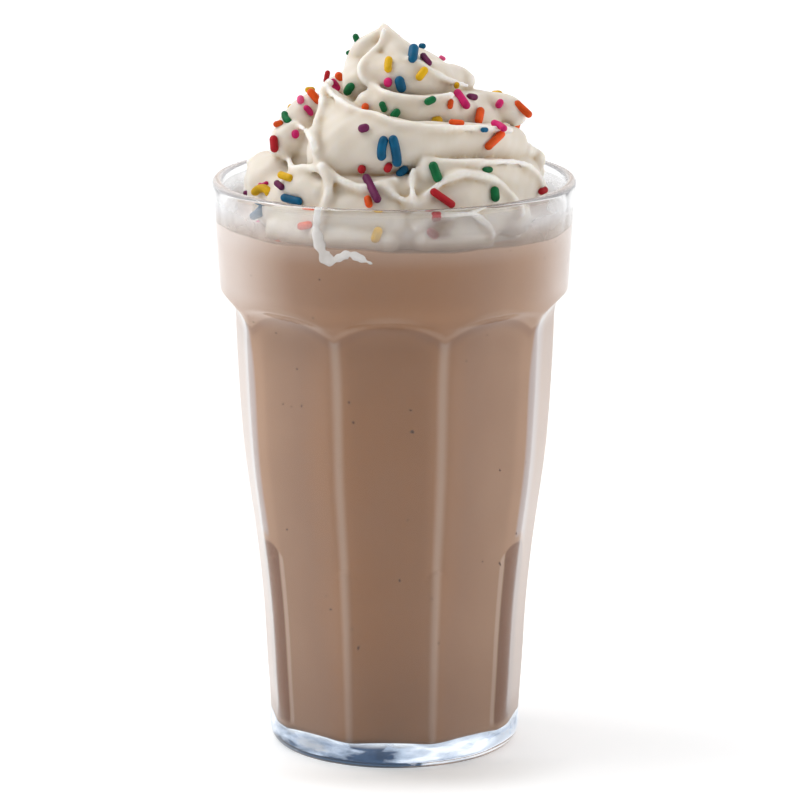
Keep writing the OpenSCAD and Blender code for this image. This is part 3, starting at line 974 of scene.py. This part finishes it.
def glass_material():
    """Clear, with painted reflections, dark and pale, in the thick base. Its shadow is nearly clear.
    """
    n = Nodes("clear_glass")
    n.set(IOR=1.5, Transmission_Weight=1.0, Roughness=0.0)
    tint = n.ramp(n.noise(14.0), (0.3, (0.975, 0.985, 0.99)), (0.7, (1.0, 1.0, 1.0)))
    turn, height = n.turn_and_height()
    base_reflection = n.noise(46.0, 4.0, 0.6, stretch=(1, 1, 3.5))
    # painted shade and reflection: the base darker in the front middle and on the left, paler at the
    # sides and on the right
    base_reflection = n.plus(base_reflection, n.span(n.unsigned(turn), 10, 55, -0.10, -0.015))
    base_reflection = n.plus(base_reflection, n.span(turn, -60, 60, -0.02, 0.03))
    # two painted dark reflections: one under the drink, one low down
    wander = n.plus(turn, n.times(n.minus(n.noise(220.0, 4.0), 0.5), 34.0))
    reflection_under_drink = n.times(n.window(wander, -22, 0, 8), n.window(height, 5.0, 8.6, 0.9))
    painted_low_line = n.times(n.window(wander, -54, 17, 14), n.window(height, 0.7, 2.1, 0.5))
    base_reflection = n.minus(base_reflection, n.times(n.math("MAXIMUM", reflection_under_drink, painted_low_line), 0.42))
    # the base's colours: painted dark reflections up to pale painted highlights
    streaks = n.ramp(
        base_reflection,
        (0.36, (0.003, 0.01, 0.03)),
        (0.435, (0.22, 0.29, 0.40)),
        (0.49, (0.50, 0.57, 0.68)),
        (0.55, (0.95, 0.97, 1.0)),
    )
    n.base(n.mix(n.span(height, 8.0, 5.5), tint, streaks))
    path = n.add("ShaderNodeLightPath")
    clear = n.add("ShaderNodeBsdfTransparent", Color=(0.94, 0.95, 0.95, 1))
    mixer = n.add("ShaderNodeMixShader")
    n.link(path.outputs["Is Shadow Ray"], mixer.inputs[0])
    n.link(n.shader.outputs["BSDF"], mixer.inputs[1])
    n.link(clear.outputs["BSDF"], mixer.inputs[2])
    n.link(mixer.outputs[0], n.output.inputs["Surface"])
    return n.material


def film_material():
    """Milky and streaked, more so at the band's sides, where the milkiness is partly a painted
    reflection.
    Browner just above the drink, and a brown patch of painted shade at the front right."""
    n = Nodes("milky_film")
    turn, height = n.turn_and_height()
    off = n.unsigned(turn)
    streaks = n.span(n.noise(60.0, 4.0, 0.6, stretch=(1, 1, 0.25)), 0.35, 0.7, 0.55, 1.2)
    # partly painted reflection: the film milkier towards the band's sides
    side = n.span(off, 44, 60, 0.18, 0.6)
    fade = n.span(height, GLASS_HEIGHT - 2.5, DRINK_LEVEL + 3, 0.35, 1.0)
    # painted shade: a brown patch at the front right
    browner = n.times(n.window(turn, 6, 48, 9), n.window(height, 137.0, 146.0, 3))
    browner = n.times(browner, n.span(n.noise(70.0, 3.0), 0.35, 0.6, 0.5, 1.0))
    # browner just above the drink
    by_drink = n.times(n.span(height, 141.5, 135.5), n.span(off, 72, 40, 0.2, 0.7))
    browner = n.math("MAXIMUM", browner, by_drink)
    up_the_band = n.span(height, DRINK_LEVEL, DRINK_LEVEL + 6)
    pale = n.ramp(up_the_band, (0.0, linear(200, 184, 172)), (1.0, linear(236, 236, 240)))
    n.base(n.mix(browner, pale, linear(132, 106, 88)))
    milk_and_side_sheen = n.times(side, streaks, fade)
    n.link(n.math("MAXIMUM", milk_and_side_sheen, n.times(browner, 0.45)), n.shader.inputs["Alpha"])
    n.set(Roughness=0.5, Specular_IOR_Level=DULL)
    return n.material


def drink_material():
    """Pale brown with slow clouds and specks, darker in the front middle as painted shade, pale
    towards the band's sides as a painted reflection with foam at the top, and painted light and shade
    along the glass's panel edges and arches."""
    n = Nodes("milk_chocolate_shake")
    turn, height = n.turn_and_height()
    around = n.math("DIVIDE", n.minus(turn, PANEL_TURN), 360 / PANELS)
    off = n.times(n.unsigned(n.minus(around, n.math("ROUND", around))), 360 / PANELS)
    # painted shade: darker in the front middle, paler towards the sides, over slow clouds
    from_shaded_front = n.unsigned(n.plus(turn, 3.0))
    clouds = n.times(n.noise(22.0, 5.0, 0.62, stretch=(1, 1, 0.7)), 0.6)
    depth = n.plus(n.times(n.span(from_shaded_front, 8, 62), 0.55), n.minus(clouds, 0.1))
    colour = n.ramp(
        depth,
        (0.05, linear(170, 120, 77)),
        (0.45, linear(168, 130, 103)),
        (0.85, linear(187, 151, 124)),
    )
    # painted reflection in the band: pale at its sides, and paler at the top as foam
    side_sheen = n.span(n.unsigned(n.minus(turn, 6.0)), 38, 74)
    foam_and_side_sheen = n.plus(n.times(side_sheen, 0.85), n.span(height, 130, 136, 0.0, 0.25))
    colour = n.mix(n.times(n.span(height, 112, 122), foam_and_side_sheen), colour, linear(226, 212, 204))
    # arches: painted shade as a darker line below, a painted highlight as a pale one above
    arch = n.times(off, off, ARCH_RISE / (180 / PANELS) ** 2)
    above = n.plus(n.minus(height, BAND_BASE), arch)
    arch_shade = n.times(n.span(above, -4.5, -1.6), n.span(above, -0.4, -1.2))
    colour = n.mix(n.times(arch_shade, 0.28), colour, linear(118, 84, 72))
    arch_highlight = n.times(n.span(above, -1.0, 0.0), n.span(above, 2.2, 0.2))
    colour = n.mix(n.times(arch_highlight, 0.22), colour, linear(214, 190, 172))
    # front edges of the side panels: a pale strip of painted reflection above the step, and below it
    # a dark strip of painted shade with a painted pale line in front of it
    side = n.unsigned(n.minus(turn, PANEL_TURN))
    beside = n.unsigned(n.minus(side, 80.0))
    from_middle = n.minus(beside, 15.0)
    over_step = n.plus(n.minus(height, STEP_HEIGHT + 3.6), n.times(from_middle, from_middle, 0.035))
    strip = n.times(n.span(side, 61.4, 63.0), n.span(side, 82.0, 66.0))
    side_reflection = n.times(strip, n.span(over_step, 0.5, 3.0), n.span(above, 0.0, -3.0))
    colour = n.mix(n.times(side_reflection, 0.5), colour, linear(204, 206, 216))
    below = n.times(n.span(over_step, 0.4, -0.6), n.span(height, 7.0, 9.0))
    side_shade = n.times(n.span(side, 56.6, 57.6), n.span(side, 86.0, 68.0), below)
    colour = n.mix(n.times(side_shade, 0.7), colour, linear(112, 68, 44))
    # painted highlight: a pale line in front of the dark strip
    painted_low_line = n.times(n.window(side, 54.0, 57.4, 1.2), below)
    colour = n.mix(n.times(painted_low_line, 0.45), colour, linear(222, 204, 190))
    # soft painted highlights along the other panels' edges, and darker towards the floor
    edge = n.times(n.span(off, 17.2, 19.8), n.span(above, -0.3, -1.6), n.span(beside, 22, 24))
    colour = n.mix(n.times(edge, 0.36), colour, linear(222, 206, 194))
    colour = n.mix(n.span(height, 42, 6, 0.0, 0.3), colour, linear(102, 60, 28))
    specks = n.ramp(n.noise(520.0, 1.0), (0.765, (0, 0, 0)), (0.80, (1, 1, 1)))
    n.base(n.mix(specks, colour, linear(100, 70, 52)))
    n.set(Roughness=0.55, Specular_IOR_Level=DULL)
    return n.material


def cream_material():
    """Whitest on the ridges as a painted highlight, yellower in the folds as painted shade, with fine
    bubbles.
    """
    n = Nodes("whipped_cream")
    ridge_and_fold_shading = n.add("ShaderNodeNewGeometry").outputs["Pointiness"]
    uneven = n.plus(ridge_and_fold_shading, n.times(n.minus(n.noise(110.0, 4.0), 0.5), 0.03))
    # painted light: white highlight on the ridges, yellow shade in the folds
    n.base(
        n.ramp(
            uneven,
            (0.42, linear(208, 178, 130)),
            (0.475, linear(218, 207, 189)),
            (0.515, linear(228, 221, 211)),
            (0.555, linear(252, 250, 246)),
        )
    )
    n.set(Roughness=0.42, Specular_IOR_Level=0.35)
    n.set(Subsurface_Weight=0.5, Subsurface_Scale=0.0025, Subsurface_Radius=(1.0, 0.8, 0.55))
    n.bump(n.noise(800.0, 3.0), 0.14, 0.0004)
    return n.material


def smear_material():
    """Thin cream on the glass, slightly uneven."""
    n = Nodes("thin_cream")
    n.base(n.ramp(n.noise(160.0, 3.0), (0.35, linear(222, 218, 214)), (0.62, linear(250, 249, 248))))
    n.set(Roughness=0.5, Specular_IOR_Level=DULL)
    return n.material


def sprinkle_material(name, colour):
    n = Nodes("sugar_" + name)
    deep = tuple(0.72 * c for c in colour)
    n.base(n.ramp(n.noise(320.0, 2.0), (0.35, deep), (0.6, colour)))
    n.set(Roughness=0.5, Specular_IOR_Level=DULL)
    n.bump(n.noise(900.0, 2.0), 0.15, 0.0003)
    return n.material


def floor_material():
    """White, and brighter behind the glass, like the lit sweep that the glass's sides mirror. Right
    in front of the foot it is dimmer, as the contact shadow."""
    n = Nodes("white_surface")
    n.base(n.ramp(n.noise(2.0), (0.3, (0.86, 0.86, 0.86)), (0.7, (0.88, 0.88, 0.88))))
    split = n.add("ShaderNodeSeparateXYZ")
    n.link(n.where, split.inputs[0])
    back = split.outputs["Y"]
    length = n.add("ShaderNodeVectorMath", operation="LENGTH")
    n.link(n.where, length.inputs[0])
    away = length.outputs["Value"]
    ring = n.times(n.span(away, 0.0295, 0.032), n.span(away, 0.060, 0.032))
    shadow = n.times(ring, n.span(back, -0.016, -0.042, 0.0, 0.9))
    # painted light: the floor glows, also right under the glass, where the base shows it
    glow = n.plus(n.span(back, 0.0, 0.08, 0.38, 0.3), n.span(back, 0.35, 1.0, 0.0, 0.2))
    n.link(n.times(n.minus(1.0, shadow), glow), n.shader.inputs["Emission Strength"])
    n.set(Roughness=0.7, Specular_IOR_Level=DULL, Emission_Color=(0.93, 0.98, 1.04, 1))
    return n.material


# ---------------------------------------------------------------- surroundings

LENS, SIDE_SHIFT = 217.8, 0.00725
LAMP_AIM = 0.1
FLOOR_HALF = 9000.0


def add_camera():
    data = bpy.data.cameras.new("camera")
    data.sensor_width = 36
    data.lens = LENS
    data.shift_x = SIDE_SHIFT
    data.clip_end = 20
    camera = collection_object("camera", data)
    camera.location = EYE * MM
    camera.rotation_euler = (math.pi / 2 - CAMERA_PITCH, 0, 0)
    bpy.context.scene.camera = camera


def add_lamp(name, place, size, watts):
    data = bpy.data.lights.new(name, "AREA")
    data.shape = "RECTANGLE"
    data.size, data.size_y = size
    data.energy = watts
    lamp = collection_object(name, data)
    lamp.location = place
    aim = Vector((0, 0, LAMP_AIM)) - Vector(place)
    lamp.rotation_euler = aim.to_track_quat("-Z", "Y").to_euler()


def add_world():
    """White behind, bright at the sides and dim in front, so that the glass's edges show."""
    world = bpy.data.worlds.new("studio")
    world.use_nodes = True
    tree = world.node_tree
    where = tree.nodes.new("ShaderNodeTexCoord")
    split = tree.nodes.new("ShaderNodeSeparateXYZ")
    spread = tree.nodes.new("ShaderNodeMapRange")
    spread.inputs["From Min"].default_value = -1
    ramp = tree.nodes.new("ShaderNodeValToRGB")
    ramp.color_ramp.elements.new(0.5)
    stops = ((0.1, (0.33, 0.30, 0.27)), (0.6, (0.56, 0.54, 0.51)), (0.85, (1.0, 1.0, 1.0)))
    for element, (place, colour) in zip(ramp.color_ramp.elements, stops, strict=True):
        element.position = place
        element.color = (*colour, 1)
    background = tree.nodes["Background"]
    background.inputs["Strength"].default_value = 1.05
    tree.links.new(where.outputs["Generated"], split.inputs[0])
    tree.links.new(split.outputs["Y"], spread.inputs["Value"])
    tree.links.new(spread.outputs["Result"], ramp.inputs["Fac"])
    tree.links.new(ramp.outputs["Color"], background.inputs["Color"])
    bpy.context.scene.world = world


def add_floor(material):
    points = [(FLOOR_HALF * x, FLOOR_HALF * y, 0) for x, y in ((-1, -1), (1, -1), (1, 1), (-1, 1))]
    floor = mesh_piece("floor", points, [(0, 1, 2, 3)], material)


# ---------------------------------------------------------------- the scene

add_camera()
add_world()
add_lamp("key", (-0.55, 0.1, 0.95), (0.6, 0.6), 5.1)
add_lamp("right", (0.9, -0.2, 0.45), (0.4, 0.6), 2.4)
add_lamp("left", (-0.9, -0.3, 0.3), (0.3, 0.8), 1.2)
add_floor(floor_material())

glass = build_glass(glass_material())
drink = build_drink(drink_material())
cream = build_cream(cream_material())

sprinkles = build_sprinkles(cream)
film = build_film(film_material())
smear = build_smear(smear_material())
for piece in (*sprinkles, smear):
    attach(piece, "root")
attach(film, "root")

for piece, node, slot in (
    (glass, "glass", "glass"),
    (drink, "milkshake", "milkshake"),
    (cream, "whipped_cream", "cream"),
):
    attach(piece, "root")
    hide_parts(node)

bpy.context.scene.view_settings.view_transform = "Standard"
